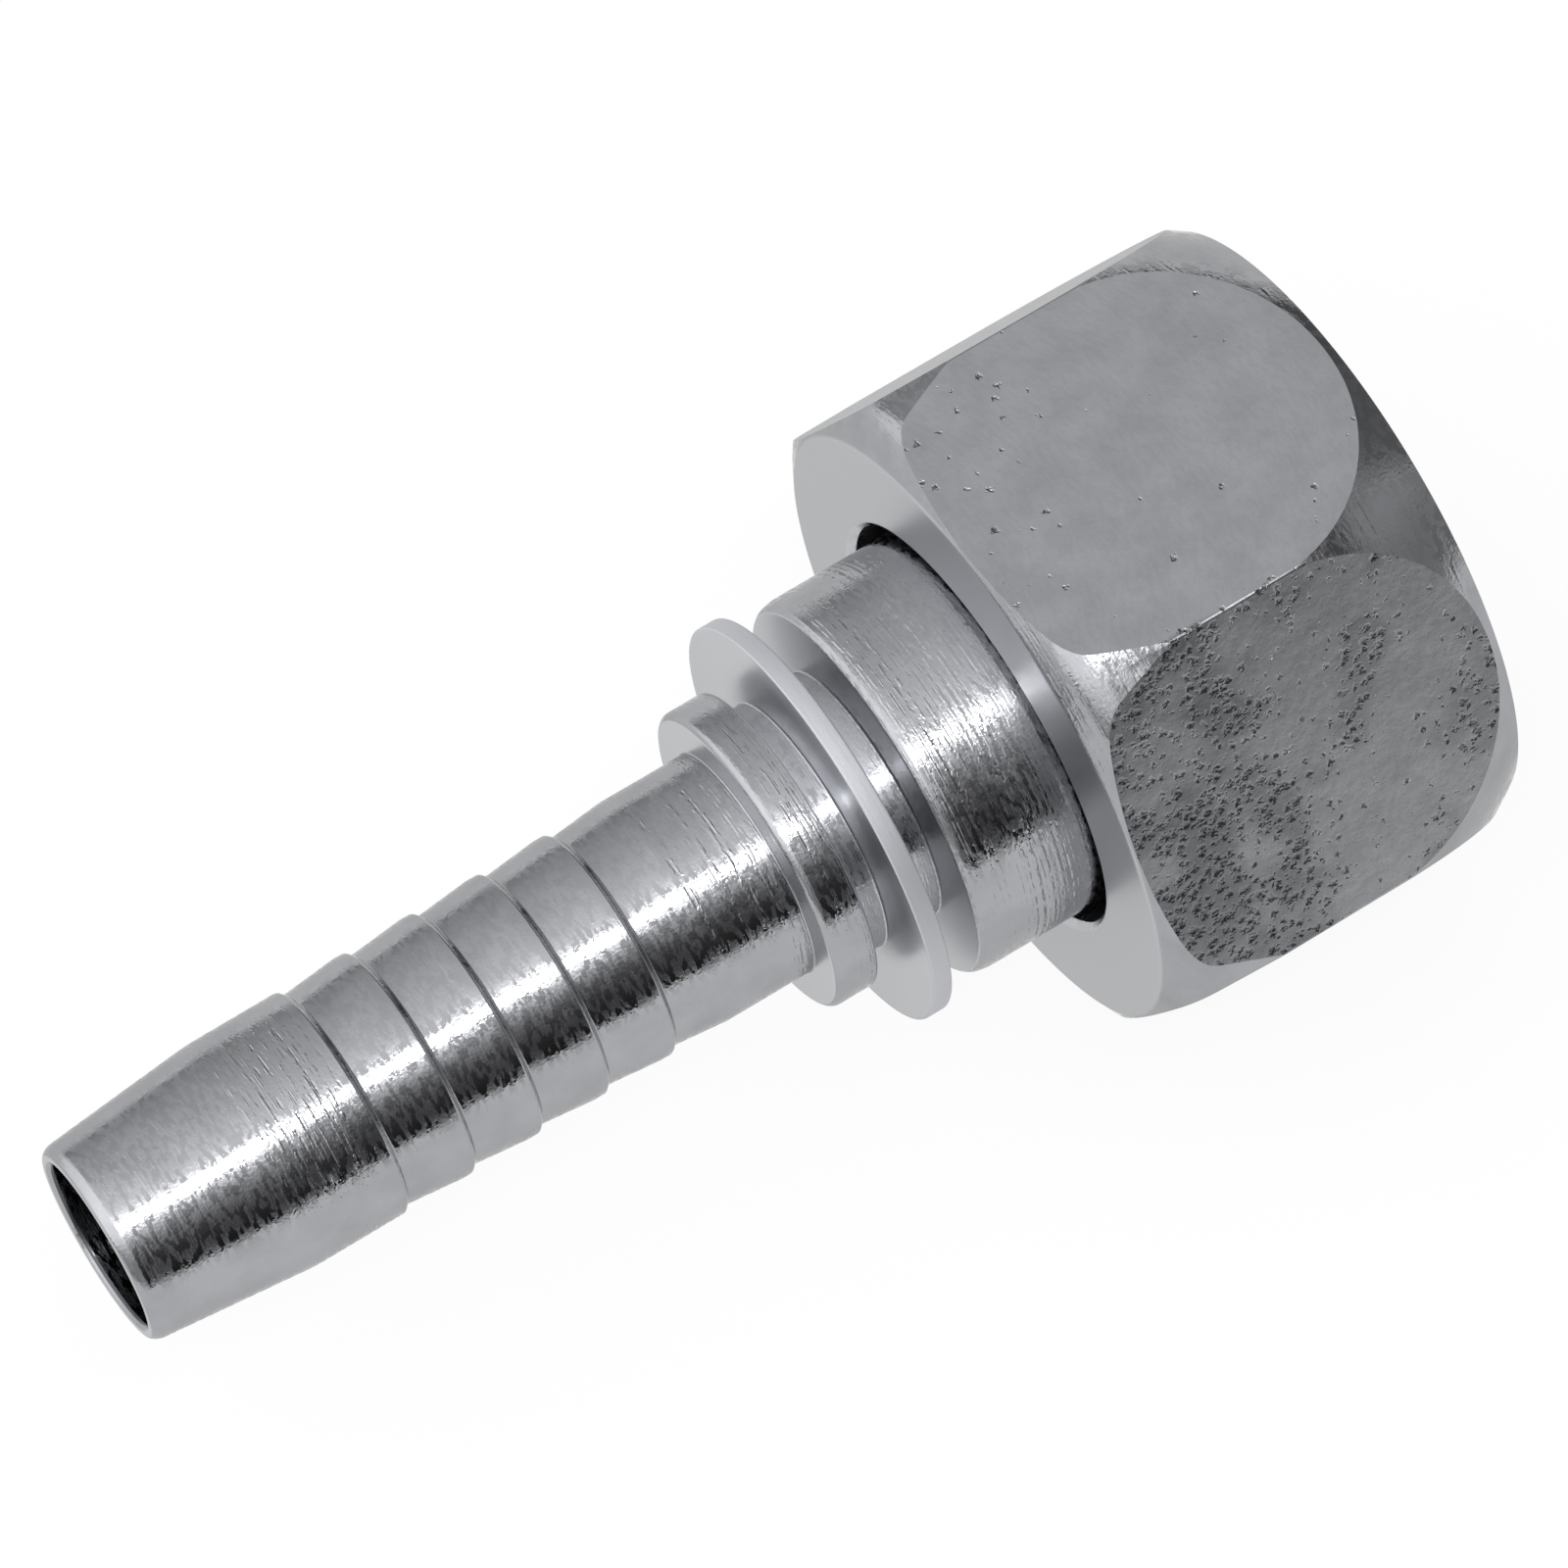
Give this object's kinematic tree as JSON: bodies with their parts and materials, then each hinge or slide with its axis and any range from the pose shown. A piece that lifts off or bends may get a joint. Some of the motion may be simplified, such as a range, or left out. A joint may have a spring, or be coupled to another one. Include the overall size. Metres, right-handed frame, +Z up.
{
  "type": "straight hydraulic hose fitting",
  "caption": "Straight crimp hose fitting: a barbed tail with a collar and a stop flange, and a free-turning hexagon union nut over a sealing cone.",
  "frame": {"origin": "on the surface that the fitting lies on, under the middle of its length and its axis", "axes": "+X along the axis, from the hose end to the nut; +Z up, square to the nut's flat that it lies on"},
  "size_m": [0.0476, 0.0254, 0.022],
  "materials": {
    "stem_steel": "bright zinc plate over turned steel, fine rings of turning marks",
    "nut_steel": "bright zinc plate over hexagon bar, turned ends",
    "ring_rubber": "black nitrile, satin"
  },
  "bodies": {
    "stem": {"hose_stem": "stem_steel", "seal_ring": "ring_rubber"},
    "nut": {"union_nut": "nut_steel"}
  },
  "joints": [
    {"name": "nut_spin", "type": "hinge", "parent": "stem", "child": "nut", "pos_m": [0.01678, 0, 0.011], "axis": [1, 0, 0], "continuous": true}
  ]
}
